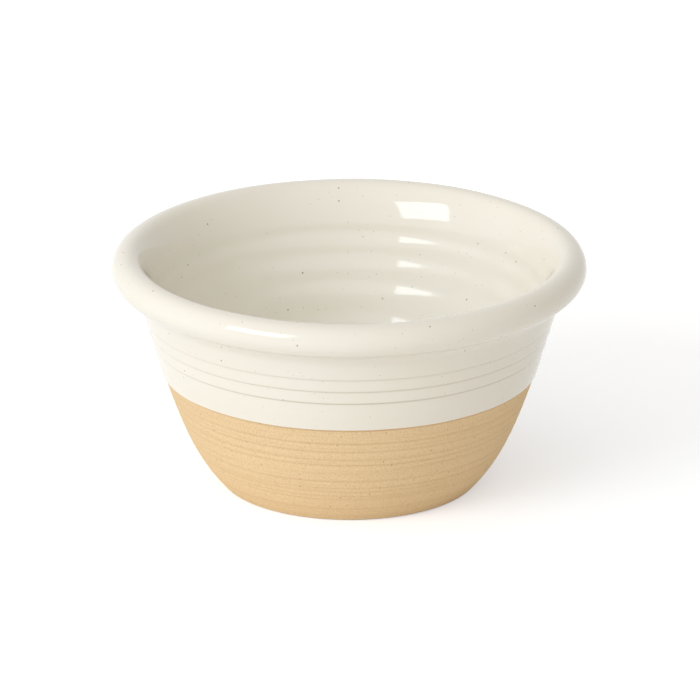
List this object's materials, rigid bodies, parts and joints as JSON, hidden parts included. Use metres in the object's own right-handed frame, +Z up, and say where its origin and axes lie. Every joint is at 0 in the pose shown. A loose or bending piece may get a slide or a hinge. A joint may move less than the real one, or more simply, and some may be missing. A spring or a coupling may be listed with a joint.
{
  "type": "prep bowl",
  "caption": "Round stoneware prep bowl with a rolled rim, ivory gloss glaze inside and on the upper outside, and bare sand-coloured clay below the dip line.",
  "frame": {"origin": "on the table at the middle of the base", "axes": "+Z up along the bowl's axis; the bowl is round, so X and Y have no preferred side"},
  "size_m": [0.16, 0.16, 0.081],
  "materials": {
    "bare_stoneware": "matte, fine sandy grain with turning lines and small brown iron specks",
    "ivory_glaze": "clear gloss over ivory, with sparse brown iron specks"
  },
  "bodies": {
    "root": {"stoneware_body": "bare_stoneware", "glaze_coat": "ivory_glaze"}
  },
  "joints": []
}
